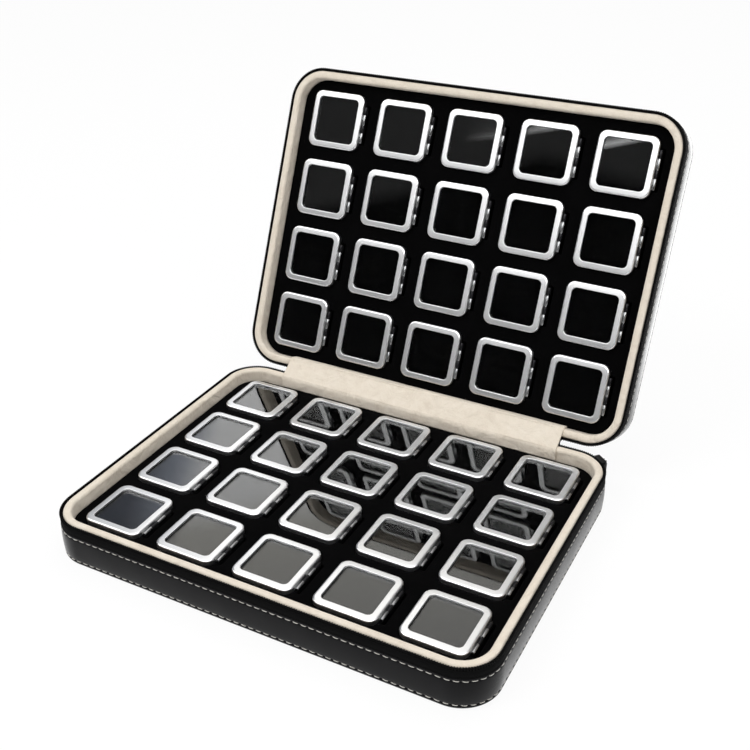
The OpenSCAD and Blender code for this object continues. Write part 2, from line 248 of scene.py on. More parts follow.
def black_metal():
    """Blackened metal of the trays and the slider."""
    n = Surface("zip_metal", Metallic=0.6, Base_Color=(0.02, 0.02, 0.022), Specular_IOR_Level=0.3)
    n.link(n.span(n.noise(700, 3), 0.22, 0.42), "Roughness")
    n.link(n.bump(n.noise(1900, 3), 0.1, 0.00003), "Normal")
    return n.material


def tape():
    """Woven black tape."""
    n = Surface("zip_tape", Roughness=0.85, Specular_IOR_Level=0.08)
    v = n.coords()
    both = n.math("MULTIPLY", n.bands(420.0, 1.5, "Z", v), n.bands(300.0, 1.0, "DIAGONAL", v))
    n.link(n.ramp(both, [(0.0, (0.0012, 0.0012, 0.0013)), (1.0, (0.0042, 0.0042, 0.0045))]), "Base Color")
    n.link(n.bump(both, 0.4, 0.00012), "Normal")
    return n.material


def plastic(name, base, lo, hi):
    """Dull plastic; lo and hi are its least and greatest roughness."""
    n = Surface(name, Base_Color=base, Specular_IOR_Level=0.07)
    n.link(n.span(n.noise(900, 3), lo, hi), "Roughness")
    n.link(n.bump(n.noise(2500, 2), 0.1, 0.00003), "Normal")
    return n.material


def sewing_thread():
    """Twisted sewing thread."""
    n = Surface("thread", Roughness=0.7, Specular_IOR_Level=0.3, Sheen_Weight=0.2)
    twist = n.bands(900.0, 2.0, "DIAGONAL", n.coords())
    n.link(n.ramp(twist, [(0.0, (0.50, 0.48, 0.43)), (1.0, (0.80, 0.78, 0.73))]), "Base Color")
    n.link(n.bump(twist, 0.5, 0.00008), "Normal")
    return n.material


def glass():
    """Clear pane with a faint unevenness."""
    n = Surface("window", Base_Color=(0.97, 0.985, 0.98), IOR=1.45, Specular_IOR_Level=0.34,
              Transmission_Weight=1.0)
    n.link(n.span(n.noise(300, 3), 0.0, 0.006), "Roughness")
    return n.material


MAT = {"leather": leatherette(), "suede": suede(), "foam": foam(), "tape": tape(),
       "thread": sewing_thread(),
       "coil": plastic("zip_coil", (0.0016, 0.0016, 0.0018), 0.40, 0.55), "glass": glass(),
       "metal": metal("satin_metal", (0.88, 0.885, 0.89), 0.31, 0.36, (1, 1, 0.15)),
       # A darker copy of the satin metal for the frames' knuckles: painted shade, as the knuckles are of
       # the frame's own metal
       "hinge": metal("hinge_metal_painted_shade", (0.40, 0.405, 0.41), 0.24, 0.34),
       "black": black_metal()}


# Mesh tools
def piece(name, verts, faces, mat, body, at=None, smooth=True, weld=None, sharp=40):
    """An object from points in mm, turned by a matrix in mm, riding on a CAD body."""
    v = np.asarray(verts, float)
    m = np.array(at if at is not None else Matrix.Identity(4), float)
    v = v @ m[:3, :3].T + m[:3, 3]
    if np.linalg.det(m[:3, :3]) < 0:
        faces = [tuple(reversed(f)) for f in faces]
    me = bpy.data.meshes.new(name)
    me.from_pydata((v * MM).tolist(), [], faces)
    me.update()
    if weld:
        bm = bmesh.new()
        bm.from_mesh(me)
        bmesh.ops.remove_doubles(bm, verts=bm.verts, dist=weld * MM)
        bmesh.ops.recalc_face_normals(bm, faces=bm.faces)
        bm.to_mesh(me)
        bm.free()
    me.materials.append(mat)
    if smooth:
        me.polygons.foreach_set("use_smooth", [True] * len(me.polygons))
        me.set_sharp_from_angle(angle=math.radians(sharp))
    o = bpy.data.objects.new(name, me)
    bpy.context.scene.collection.objects.link(o)
    if body:
        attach(o, body)
    return o


def outline(w, d, r, per_corner, step=None):
    """Points and outward normals of a rounded rectangle, clockwise from the right end of its +Y side."""
    pts, nor = [], []
    corners = [(1, 1, 90), (1, -1, 0), (-1, -1, -90), (-1, 1, -180)]
    for sx, sy, a0 in corners:
        cx, cy = sx * (w / 2 - r), sy * (d / 2 - r)
        for k in range(per_corner + 1):
            a = math.radians(a0 - 90 * k / per_corner)
            pts.append((cx + r * math.cos(a), cy + r * math.sin(a)))
            nor.append((math.cos(a), math.sin(a)))
    pts, nor = np.array(pts), np.array(nor)
    if step:
        P, N = [], []
        for i in range(len(pts)):
            j = (i + 1) % len(pts)
            n = max(1, int(round(np.linalg.norm(pts[j] - pts[i]) / step)))
            for k in range(n):
                P.append(pts[i] + (pts[j] - pts[i]) * k / n)
                N.append(nor[i] + (nor[j] - nor[i]) * k / n)
        pts, nor = np.array(P), np.array(N)
        nor /= np.linalg.norm(nor, axis=1)[:, None]
    return pts, nor


def lengths(pts):
    """Length along a closed line at each point, and its whole length last."""
    seg = np.linalg.norm(np.roll(pts, -1, 0) - pts, axis=1)
    return np.r_[0, np.cumsum(seg)]


def loft(rings, closed=True, cap=(False, False), loop=False):
    """Skins rings of equal length. closed joins each ring's ends, loop joins the last ring to the first."""
    n = len(rings[0])
    v = np.concatenate(rings)
    f = []
    m = len(rings)
    for j in range(m if loop else m - 1):
        a, b = j * n, ((j + 1) % m) * n
        for i in range(n if closed else n - 1):
            k = (i + 1) % n
            f.append((a + i, a + k, b + k, b + i))
    if cap[0]:
        f.append(tuple(range(n - 1, -1, -1)))
    if cap[1]:
        f.append(tuple((m - 1) * n + i for i in range(n)))
    return v, f


def ring(pts, nor, inset, z, wave=0.0):
    """The outline moved in by inset, and by a wave along it, at height z."""
    p = pts - nor * np.broadcast_to(inset + wave, len(pts))[:, None]
    return np.c_[p, np.broadcast_to(z, len(p))]


def fillet(x0, y0, x1, y1, cx, cy, n=6):
    """Points of the quarter arc from (x0, y0) to (x1, y1) about (cx, cy)."""
    a0, a1 = math.atan2(y0 - cy, x0 - cx), math.atan2(y1 - cy, x1 - cx)
    while a1 - a0 > math.pi:
        a1 -= 2 * math.pi
    while a1 - a0 < -math.pi:
        a1 += 2 * math.pi
    r0, r1 = math.hypot(x0 - cx, y0 - cy), math.hypot(x1 - cx, y1 - cy)
    return [(cx + (r0 + (r1 - r0) * k / n) * math.cos(a0 + (a1 - a0) * k / n),
             cy + (r0 + (r1 - r0) * k / n) * math.sin(a0 + (a1 - a0) * k / n)) for k in range(n + 1)]


def join(*parts):
    """Several meshes as one list of points and one of faces."""
    v, f, o = [], [], 0
    for pv, pf in parts:
        v.append(np.asarray(pv, float))
        f += [tuple(i + o for i in t) for t in pf]
        o += len(pv)
    return np.concatenate(v), f


def waves(s, total, seed, terms, amp):
    """A smooth closed wave along a length, from a few sines."""
    g = np.random.default_rng(seed)
    out = np.zeros_like(s)
    for k in terms:
        out += np.sin(2 * math.pi * k * s / total + g.uniform(0, 6.28)) * g.uniform(0.4, 1)
    return out * amp / len(terms)


def block(x0, x1, y0, y1, z0, z1, bevel, seg=3):
    """A box with rounded edges."""
    bm = bmesh.new()
    bmesh.ops.create_cube(bm, size=1)
    for v in bm.verts:
        v.co = Vector(((x0, x1)[v.co.x > 0], (y0, y1)[v.co.y > 0], (z0, z1)[v.co.z > 0]))
    bmesh.ops.bevel(bm, geom=bm.edges[:], offset=bevel, segments=seg, profile=0.5, affect="EDGES",
                    clamp_overlap=True)
    bm.verts.index_update()
    out = np.array([v.co[:] for v in bm.verts]), [tuple(v.index for v in f.verts) for f in bm.faces]
    bm.free()
    return out


def rod(x, z, y0, y1, r, n=20, soft=0.15):
    """A cylinder along Y with softened ends."""
    rings = []
    a = np.linspace(0, 2 * math.pi, n, endpoint=False)
    for y, k in ((y0, r - soft), (y0 + soft * 0.3, r - soft * 0.3), (y0 + soft, r), (y1 - soft, r),
                 (y1 - soft * 0.3, r - soft * 0.3), (y1, r - soft)):
        rings.append(np.c_[x + k * np.cos(a), np.full(n, y), z + k * np.sin(a)])
    return loft(rings, cap=(True, True))


# The case
POINTS, NORMALS = outline(CASE_W, CASE_D, CASE_R, 26, 1.5)
RUN = lengths(POINTS)
TOTAL = RUN[-1]
STITCH = TOTAL / round(TOTAL / STITCH_L)
# The outline starts where the +Y side meets the right corner, so the spine's right end lies before TOTAL
FIRST = TOTAL - (CASE_W / 2 - CASE_R - SPINE_HALF)


def at_length(s):
    """Points and outward normals of the outline at lengths s along it."""
    points, normals = (np.stack([np.interp(s % TOTAL, RUN, np.r_[a[:, i], a[0, i]]) for i in (0, 1)], -1)
                       for a in (POINTS, NORMALS))
    return points, normals / np.linalg.norm(normals, axis=-1, keepdims=True)


def along(step):
    """Points and outward normals at even steps round the three sides that the zip runs on."""
    last = FIRST + TOTAL - 2 * SPINE_HALF
    return at_length(np.linspace(FIRST, last, int(round((last - FIRST) / step)) + 1))


def shell(seed):
    """Padded wall: a slight swell between the seams, and a groove that dips at every needle hole."""
    prof = [(CAP_IN, 0), (6, 0)] + fillet(2, 0, 0, 2, 2, 2, 6)
    for zs in SEAMS:
        prof += [(0, zs - 0.75), (0.12, zs - 0.4), (GROOVE, zs - 0.12)]
        prof += [(GROOVE, zs + 0.12), (0.12, zs + 0.4), (0, zs + 0.75)]
        if zs == SEAMS[0]:
            for z in np.linspace(4.4, 18.2, 12):
                prof.append((-SWELL * math.sin(math.pi * (z - SWELL_Z) / SWELL_H) ** 0.7, z))
    prof += [(0, 20.55), (0.06, 20.85), (0.25, LEATHER_Z), (0.6, 21.02), (1.02, LEATHER_Z), (1.02, 24)]
    prof += [(1.1, 26), (SHELL_T, 26), (SHELL_T, FLOOR), (CAP_IN, FLOOR)]
    hole = 0.5 + 0.5 * np.cos(2 * math.pi * RUN[:-1] / STITCH)
    soft = waves(RUN[:-1], TOTAL, seed, (5, 8, 13, 21, 34), 0.22)
    rings = []
    for u, z in prof:
        w = np.zeros(len(POINTS))
        for zs in SEAMS:
            w += HOLE_DEPTH * hole * math.exp(-((z - zs) / HOLE_R) ** 2) * (u >= 0)
        if 3.9 < z < 19 and u <= 0:
            w -= soft * math.sin(math.pi * (z - SWELL_Z) / SWELL_H)
        rings.append(ring(POINTS, NORMALS, float(u), float(z), w))
    return loft(rings, cap=(True, True))


def stitches(seed):
    """Threads that lie in the two grooves, one for each stitch, a little uneven."""
    g = np.random.default_rng(seed)
    parts = []
    steps = np.linspace(-1, 1, 9)
    a = np.linspace(0, 2 * math.pi, 7, endpoint=False)
    for zs in SEAMS:
        for k in range(int(round(TOTAL / STITCH))):
            mid = (k + 0.5) * STITCH
            half = 0.5 * STITCH * g.uniform(*STITCH_SHARE)
            tilt = g.normal(0.10, 0.05)
            points, normals = at_length(mid + steps * half)
            rings = []
            for t, p, q in zip(steps, points, normals):
                r = THREAD_R * (1 - abs(t) ** 6) ** 0.5 + 0.02
                deep = 0.06 + 0.5 * abs(t) ** 3.5
                rings.append(np.c_[(p - q * deep)[None, :] + np.outer(np.cos(a) * r * 0.8, q),
                                   zs + tilt * t + np.sin(a) * r])
            parts.append(loft(rings, cap=(True, True)))
    return join(*parts)


def lining(seed):
    """Suede over the inner wall and the padded roll on the rim."""
    prof = [(CAP_IN, FLOOR + 0.02), (SHELL_T + 0.02, FLOOR + 0.02), (SHELL_T + 0.02, 25.9), (2.6, 25.95)]
    prof += fillet(2.2, 26.4, 3.9, 28.30, 3.9, 26.6, 7)
    prof += [(4.6, 28.40), (5.2, 28.38)]
    prof += fillet(5.6, 28.30, 7.35, 26.2, 5.55, 26.4, 7)
    prof += [(7.30, 25.6), (7.22, 25.0)] + [(WALL_T, z) for z in (24.0, 22.5, 21.2, 20.2, 12, 4.6)]
    prof += [(7.6, 4.0), (CAP_IN, 4.0)]
    run = RUN[:-1]
    corner = 1 - np.clip(np.max(np.abs(NORMALS), axis=1) - 0.707, 0, 0.293) / 0.293
    g = np.random.default_rng(seed)
    broad = waves(run, TOTAL, seed, (4, 7, 11, 17, 23), 0.30)
    pleat = np.sin(run / 2.9 + 1.5 * np.sin(run / 17 + seed)) * 0.5 + np.sin(run / 1.7 + seed) * 0.25
    pleat = pleat * corner
    crease = np.zeros(len(run))
    for _ in range(26):
        c, a, w = g.uniform(0, TOTAL), g.uniform(0.05, 0.22), g.uniform(0.8, 2.4)
        d = np.minimum(np.abs(run - c), TOTAL - np.abs(run - c))
        crease += a * np.exp(-(d / w) ** 2)
    rings = []
    for u, z in prof:
        w = np.zeros(len(run))
        lift = np.zeros(len(run))
        if u < 7.9 and z > 25.9 and u > 2.1:
            k = math.sin(math.pi * min(max((u - 2.2) / 5.2, 0), 1))
            lift += 0.35 * broad * k - 0.12 * np.abs(pleat) * k - crease * k * 0.9
        if 7.0 < u < 7.9 and 20.5 < z <= 27.6:
            k = math.sin(math.pi * (z - 20.5) / 7.2)
            w += k * (0.6 * broad + 0.35 * pleat - crease * 1.4)
        rings.append(ring(POINTS, NORMALS, float(u), z + lift, w))
    return loft(rings, cap=(True, True))


def tape_mesh():
    """The zip tape, with two raised edges along it."""
    p, q = along(3.0)
    prof = [(1.0, 21.1), (0.45, 21.1), (0.28, 21.4), (0.22, 22.2), (0.30, 22.4), (0.20, 22.7), (0.20, 25.6),
            (0.34, 25.9), (0.22, 26.2), (0.28, 26.7), (1.0, 26.7)]
    rings = [np.concatenate([[np.r_[p[i] - q[i] * u, z]] for u, z in prof]) for i in range(len(p))]
    return loft(rings, closed=True, cap=(True, True))


def coil_mesh():
    """The zip's coil: one filament wound round the tape's edge, and its core."""
    p, q = along(COIL_PITCH / COIL_STEPS)
    a = 2 * math.pi * np.arange(len(p)) / COIL_STEPS
    u = COIL_IN - COIL_R * np.cos(a)
    z = COIL_Z + COIL_R * np.sin(a)
    c = np.c_[p - q * u[:, None], z]
    tan = np.gradient(c, axis=0)
    tan /= np.linalg.norm(tan, axis=1)[:, None]
    up = np.cross(tan, np.c_[q, np.zeros(len(q))])
    up /= np.linalg.norm(up, axis=1)[:, None]
    side = np.cross(up, tan)
    th = np.linspace(0, 2 * math.pi, 6, endpoint=False)
    rings = [c[i] + WIRE_R * (np.outer(np.cos(th), side[i]) + np.outer(np.sin(th), up[i]))
             for i in range(len(c))]
    wire = loft(rings, cap=(True, True))
    p, q = along(3.0)
    th = np.linspace(0, 2 * math.pi, 8, endpoint=False)
    rings = [np.c_[(p[i] - q[i] * COIL_IN)[None, :] + np.outer(CORE_R * np.cos(th), q[i]),
                   COIL_Z + CORE_R * np.sin(th)] for i in range(len(p))]
    return join(wire, loft(rings, cap=(True, True)))


def pocket(grow, n=6):
    """Outline of a pocket with its cut beside the hinge, counter-clockwise, grown outward."""
    h, r = SIDE / 2 + 0.3 + grow, BOX_R + 0.3 + grow
    far, low, high = SIDE / 2 + NOTCH_W + grow, HINGE_FRONT - 1 - grow, HINGE_BACK + 1 + grow
    mid = h - r

    def edge(y):
        """The right corner's angle at height y, 0 on the straight side."""
        return math.asin(math.copysign(max(0.0, abs(y) - mid), y) / r)

    a_low, a_high = edge(low - 0.8), edge(high + 0.8)
    pts = [(mid + r * math.cos(a), -mid + r * math.sin(a)) for a in np.linspace(-math.pi / 2, a_low, n + 1)]
    pts += [(h + 0.2, low - 0.2), (h + 0.8, low)]
    pts += [(far - 0.9, low), (far - 0.25, low + 0.25), (far, low + 0.9)]
    pts += [(far, high - 0.9), (far - 0.25, high - 0.25), (far - 0.9, high)]
    pts += [(h + 0.8, high), (h + 0.2, high + 0.2)]
    if a_high == 0:
        pts.append((h, high + 0.8))
    else:
        pts.append((mid + r * math.cos(a_high) + 1e-4, mid + r * math.sin(a_high) - 1e-3))
    for sx, sy, a0 in ((1, 1, a_high), (-1, 1, math.pi / 2), (-1, -1, math.pi)):
        a1 = {1: math.pi / 2, -1: a0 + math.pi / 2}[sx]
        for a in np.linspace(a0, a1, n + 1):
            pts.append((sx * mid + r * math.cos(a), sy * mid + r * math.sin(a)))
    return np.array(pts)


CELLS = [(r, c, (c - 3) * PITCH_X, (2.5 - r) * PITCH_Y) for r in range(1, 5) for c in range(1, 6)]


def foam_mesh():
    """The insert: a soft shoulder by the lining, a flat top, and twenty pockets with softened edges."""
    p, q = outline(CASE_W, CASE_D, CASE_R, 12, 6.0)
    inset = WALL_T + 0.1
    rings = [ring(p, q, inset, 4.02), ring(p, q, inset, 12.0), ring(p, q, inset, 17.4)]
    for u, z in fillet(inset, 17.6, inset + 2.4, FOAM_Z, inset + 2.4, 17.6, 6)[1:]:
        rings.append(ring(p, q, u, z))
    side = loft(rings)
    top = rings[-1][:, :2]
    outer, holes, walls = top[::-1], [], []
    for _, _, x, y in CELLS:
        prof = [(0.9, FOAM_Z), (0.5, 19.92), (0.2, 19.7), (0.03, 19.3), (0.0, 18.6), (0.0, BOX_Z)]
        rr = [np.c_[pocket(g) + (x, y), np.full(len(pocket(g)), z)] for g, z in prof]
        walls.append(loft(rr[::-1], cap=(True, False)))
        holes.append(pocket(0.9) + (x, y))
    pts, edges = list(outer), [(i, (i + 1) % len(outer)) for i in range(len(outer))]
    for h in holes:
        o = len(pts)
        pts += list(h)
        edges += [(o + i, o + (i + 1) % len(h)) for i in range(len(h))]
    extra = [(x, y) for x in np.arange(-128, 129, 6.4) for y in np.arange(-94, 95, 6.2)]

    def inside(poly, xy, m=0.0):
        """Whether a point is in the box round an outline, grown by m."""
        lo, hi = poly.min(0) - m, poly.max(0) + m
        return lo[0] < xy[0] < hi[0] and lo[1] < xy[1] < hi[1]

    extra = [e for e in extra if not any(inside(h, e, 1.5) for h in holes)
             and (abs(e[0]) < CASE_W / 2 - 26 or abs(e[1]) < CASE_D / 2 - 26)]
    pts += extra
    out = delaunay_2d_cdt([Vector(t) for t in pts], edges, [], 0, 1e-5)
    vv = np.array([t[:] for t in out[0]])

    def hit(poly, c):
        """Whether a point is inside an outline, by counting the edges to its right."""
        x, y = c
        r = False
        j = len(poly) - 1
        for i in range(len(poly)):
            xi, yi = poly[i]
            xj, yj = poly[j]
            if (yi > y) != (yj > y) and x < (xj - xi) * (y - yi) / (yj - yi) + xi:
                r = not r
            j = i
        return r

    keep = []
    for t in out[2]:
        c = vv[list(t)].mean(0)
        near = [h for h in holes if inside(h, c)]
        if hit(outer, c) and not any(hit(h, c) for h in near):
            keep.append(tuple(t))
    flat = (np.c_[vv, np.full(len(vv), FOAM_Z)], keep)
    base = (rings[0], [tuple(range(len(p)))])
    return join(side, flat, base, *walls)


# Gem boxes
def lathe_pair(prof, nc=10):
    """A frame from its section: each point is (share of the way from outer edge to opening, height)."""
    po, _ = outline(SIDE, SIDE, BOX_R, nc)
    op = SIDE - 2 * BAR
    pi, _ = outline(op, op, OPENING_R, nc)
    return loft([np.c_[po + (pi - po) * k, np.full(len(po), z)] for k, z in prof], loop=True)


def gem_parts():
    """Meshes of one gem box about its own middle, each with its material and slot."""
    po, no = outline(SIDE, SIDE, BOX_R, 10)
    zb, zt = PARTING + SEAT, BOX_H
    edge = zt - FRAME_SLOPE
    prof = [(0.0, zb + 0.25), (0.0, edge - 1.2)] + fillet(0, edge - 1.15, 1.15, edge, 1.15, edge - 1.15, 7)
    prof += [(1.22, edge + 0.003), (1.5, edge + 0.01), (3.8, zt - 0.002), (3.95, zt), (4.08, zt - 0.05)]
    prof += [(4.17, zt - 0.16), (BAR, zt - 0.34), (BAR, zt - TOP_T + 0.1), (BAR - 0.1, zt - TOP_T)]
    prof += [(WALL, zt - TOP_T), (WALL, zb), (0.25, zb)]
    parts = [lathe_pair([(u / BAR, z) for u, z in prof])]
    for y0, y1 in FRAME_ENDS:
        parts.append(rod(BARREL_X, PIN_Z, y0, y1, BARREL / 2))
        parts.append(block(SIDE / 2 - 0.6, BARREL_X, y0 + 0.05, y1 - 0.05, zb, PIN_Z, 0.12, 2))
    frame_m = join(*parts)
    t = [(WALL, PARTING), (0.3, PARTING), (0.06, PARTING - 0.08), (0, PARTING - 0.3), (0, 1.6)]
    t += fillet(0, 1.5, 1.5, 0, 1.5, 1.5, 5)
    outer = [ring(po, no, float(u), float(z)) for u, z in t]
    inner = [ring(po, no, BAR, WALL), ring(po, no, WALL, WALL), ring(po, no, WALL, PARTING)]
    parts = [loft(outer + [ring(po, no, BAR, 0.0)], cap=(False, True)), loft(inner, cap=(True, False))]
    for y0, y1 in TRAY_ENDS:
        parts.append(block(SIDE / 2 - 0.7, BARREL_X + 1, y0, y1, PARTING - 1, PARTING, 0.1, 2))
        parts.append(block(BARREL_X - 1, BARREL_X + 1, y0, y1, PARTING - 1, PIN_Z, 0.08, 2))
        parts.append(rod(BARREL_X, PIN_Z, y0, y1, BARREL / 2))
    tray_m = join(*parts)
    room = SIDE - 2 * WALL - 0.2
    ps, pn = outline(room, room, BOX_R - WALL - 0.1, 8)
    pz = BOX_H - TOP_T - GLASS_T - 1.0
    pad = loft([ring(ps, pn, 0.3, WALL + SEAT), ring(ps, pn, 0.0, WALL + 0.4), ring(ps, pn, 0.0, pz - 1.0),
                ring(ps, pn, 0.12, pz - 0.45), ring(ps, pn, 0.5, pz - 0.12), ring(ps, pn, 1.2, pz),
                ring(ps, pn, 4.0, pz + 0.02)], cap=(True, True))
    gz0, gz1 = BOX_H - TOP_T - GLASS_T, BOX_H - TOP_T - SEAT
    pane = loft([ring(ps, pn, 0.15, gz0), ring(ps, pn, 0.0, gz0 + 0.15), ring(ps, pn, 0.0, gz1 - 0.15),
                 ring(ps, pn, 0.15, gz1)], cap=(True, True))
    pin = rod(BARREL_X, PIN_Z, HINGE_FRONT, HINGE_BACK, PIN / 2, 14, 0.12)
    return {"frame": (frame_m, "metal", "satin_metal"), "tray": (tray_m, "black", "zip_metal"),
            "pad": (pad, "foam", "foam_black"), "window": (pane, "glass", None),
            "pin": (pin, "metal", "satin_metal")}


def local(m, x, y):
    """The place of a gem box, in metres, from a half's matrix in mm."""
    p = m @ Vector((x, y, BOX_Z))
    out = m.to_3x3().to_4x4()
    out.translation = p * MM
    return out


def build_boxes():
    """Forty gem boxes from shared meshes; a frame's knuckles get a darker copy of its metal, which paints
    shade on them.
    """
    meshes = {}
    for k, ((v, f), mat, slot) in gem_parts().items():
        o = piece("gem_" + k, v, f, MAT[mat], None, weld=0.0005, sharp=35)
        if k == "frame":
            # The knuckles take the darker metal: painted shade
            o.data.materials.append(MAT["hinge"])
            for face in o.data.polygons:
                face.material_index = int(face.center.x > (SIDE / 2 + 0.05) * MM)
        meshes[k] = (o.data, slot)
        bpy.data.objects.remove(o)
    for half in ("base", "lid"):
        for r, c, x, y in CELLS:
            node = f"{half}_box_r{r}c{c}"
            opens = half == "base" and r == 4
            for k, (me, slot) in meshes.items():
                top = k in ("frame", "window")
                body = node + "_frame" if opens and top else node
                o = bpy.data.objects.new(f"{node}_{k}_look", me)
                bpy.context.scene.collection.objects.link(o)
                o.matrix_world = local(CASE[half], x, y)
                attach(o, body)
                if k == "tray":
                    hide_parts(node)
                if opens and k == "frame":
                    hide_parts(node + "_frame")


# Spine
def lid_yz(y, z):
    """Where a point (y, z) of the base comes to lie as its mirror image in the open lid."""
    p = LID @ Vector((0, -y, z))
    return p.y, p.z


def back(u, z):
    """A point inset by u from the back of the base, at height z."""
    return CASE_D / 2 - u, z


def smooth_line(pts, n):
    """Catmull-Rom through the points."""
    p = np.array(pts, float)
    p = np.vstack([2 * p[0] - p[1], p, 2 * p[-1] - p[-2]])
    out = []
    for i in range(1, len(p) - 2):
        for k in range(n):
            t = k / n
            a, b, c, d = p[i - 1:i + 3]
            out.append(0.5 * ((2 * b) + (-a + c) * t + (2 * a - 5 * b + 4 * c - d) * t * t
                              + (-a + 3 * b - 3 * c + d) * t ** 3))
    out.append(p[-2])
    return np.array(out)


def strip(inner, outer, x0, x1, nx, wave):
    """A thick strip along X between two lines of its section; its ends are softened."""
    loop = np.vstack([inner, outer[::-1]])
    c = loop.mean(0)
    rings = []
    for x in np.linspace(x0, x1, nx):
        rings.append(np.c_[np.full(len(loop), x), loop + wave(x, loop, len(inner))])
    pull = (c - loop) / np.linalg.norm(c - loop, axis=1)[:, None]
    soft = 0.4
    for dx, share in ((-0.25, 0.35), (-soft, 0.7)):
        rings.insert(0, np.c_[np.full(len(loop), x0 + dx + soft), loop + pull * share * soft])
        rings.append(np.c_[np.full(len(loop), x1 - dx - soft), loop + pull * share * soft])
    rings.sort(key=lambda r: r[0, 0])
    return loft(rings, cap=(True, True))


def spine_pieces():
    """The lining and the cover that join the halves, shaped round their bend to the open lid."""
    base_side = [(8.8, 20.4), (8.75, 22.5), (8.75, 25.0), (8.6, 27.0), (7.7, 28.7), (6.4, 29.35)]
    inner = [back(*t) for t in base_side] + [lid_yz(CASE_D / 2 - u, z) for u, z in base_side[::-1]]
    under = [(7.25, 20.4), (7.25, 22.5), (7.25, 25.0), (7.3, 26.6), (6.6, 28.0), (5.2, 28.45)]
    outer = [back(*t) for t in under] + [lid_yz(CASE_D / 2 - u, z) for u, z in under[::-1]]
    inner, outer = smooth_line(inner, 5), smooth_line(outer, 5)
    g = np.random.default_rng(3)
    folds = [(g.uniform(-100, 100), g.uniform(1.5, 5), g.uniform(0.05, 0.22)) for _ in range(22)]

    def wave(x, loop, n):
        w = np.zeros_like(loop)
        amp = 0.16 * math.sin(x / 19) + 0.10 * math.sin(x / 7.3 + 1)
        for c, s, a in folds:
            amp -= a * math.exp(-((x - c) / s) ** 2)
        k = np.sin(np.linspace(0, math.pi, n)) ** 0.8
        d = np.gradient(loop[:n], axis=0)
        nrm = np.c_[-d[:, 1], d[:, 0]] / np.linalg.norm(d, axis=1)[:, None]
        if (nrm[n // 2] @ np.array([-1.0, 1.0])) < 0:
            nrm = -nrm
        w[:n] = nrm * (amp * k)[:, None]
        return w

    v, f = strip(inner, outer, -SPINE_HALF, SPINE_HALF, 190, wave)
    o = piece("spine_lining_look", v, f, MAT["suede"], None, weld=0.0005, sharp=60)
    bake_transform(o)
    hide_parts("spine_lining")
    cover_in = [(1.0, 21.1), (1.0, 24.0), (0.98, 27.0), (0.6, 28.6)]
    cover_out = [(0.04, 21.1), (0.0, 24.0), (-0.1, 27.0), (-0.5, 28.9)]
    lines = []
    for side, dy, dz in ((cover_in, -0.75, 0.65), (cover_out, 0.7, -0.5)):
        far = [lid_yz(CASE_D / 2 - u, z) for u, z in side[::-1]]
        turn = [(SPINE_Y + dy, SPINE_Z + dz)]
        lines.append(smooth_line([back(*t) for t in side] + turn + far, 4))

    def ripple(x, loop, _):
        w = np.zeros_like(loop)
        w[:, 1] = 0.08 * math.sin(x / 11) * np.sin(np.linspace(0, 2 * math.pi, len(loop))) ** 2
        return w

    v, f = strip(lines[1], lines[0], -SPINE_HALF, SPINE_HALF, 150, ripple)
    o = piece("spine_cover_look", v, f, MAT["leather"], None, weld=0.0005, sharp=60)
    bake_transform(o)
    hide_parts("spine_cover")


# Slider and pull
def slider_pieces():
    """Slider and pull, parked on the tape at the base's back right corner."""
    corner = Matrix.Translation((CASE_W / 2 - CASE_R, CASE_D / 2 - CASE_R, 0))
    at = corner @ Matrix.Rotation(math.radians(50), 4, "Z") @ Matrix.Translation((CASE_R, 0, 0))
    eye_x, eye_z = 2.8, HALF_H - 2
    v, f = join(block(0.35, 1.9, -4.5, 4.5, 22.8, 29.15, 0.5, 4),
                block(-2.0, 1.2, -4.4, 4.4, 28.72, 29.15, 0.18, 3),
                block(1.5, 3.9, -1.35, -0.95, eye_z - 1.1, eye_z + 1.1, 0.18, 3),
                block(1.5, 3.9, 0.95, 1.35, eye_z - 1.1, eye_z + 1.1, 0.18, 3),
                block(1.7, 2.3, -3.4, 3.4, 23.6, 28.2, 0.28, 3))
    o = piece("zip_slider_look", v, f, MAT["black"], "slider", at)
    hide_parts("zip_slider")
    w, top, low, n = 3.0, eye_z + 0.6, eye_z - 22 + 3.0, 20
    a = np.linspace(0, -math.pi, n)
    edge = np.array([(w, top - 0.8), *[(w * math.cos(k), low + w * math.sin(k)) for k in a],
                     (-w, top - 0.8), (-w + 0.8, top), (w - 0.8, top)])
    turn = np.linspace(0, 2 * math.pi, n, endpoint=False)
    hole = np.array([(1.2 * math.cos(k), low + 1.2 * math.sin(k)) for k in turn])
    pts = [Vector(p) for p in (*edge, *hole)]
    ed = [(i, (i + 1) % len(edge)) for i in range(len(edge))]
    ed += [(len(edge) + i, len(edge) + (i + 1) % len(hole)) for i in range(len(hole))]
    out = delaunay_2d_cdt(pts, ed, [], 0, 1e-6)
    vv = np.array([p[:] for p in out[0]])
    tri = [tuple(q) for q in out[2] if np.linalg.norm(vv[list(q)].mean(0) - (0, low)) > 1.15]
    m = len(vv)
    x0, x1 = eye_x - 0.6, eye_x + 0.6
    verts = np.vstack([np.c_[np.full(m, x0), vv], np.c_[np.full(m, x1), vv]])
    faces = [tuple(reversed(q)) for q in tri] + [tuple(i + m for i in q) for q in tri]
    for lo, cnt in ((0, len(edge)), (len(edge), len(hole))):
        for i in range(cnt):
            j = lo + (i + 1) % cnt
            faces.append((lo + i, j, j + m, lo + i + m))
    o = piece("zip_pull_look", verts, faces, MAT["black"], "pull", at, weld=0.0005, sharp=30)
    b = o.modifiers.new("edges", "BEVEL")
    b.width, b.segments, b.limit_method, b.angle_limit = 0.0003, 3, "ANGLE", math.radians(50)
    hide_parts("zip_pull")


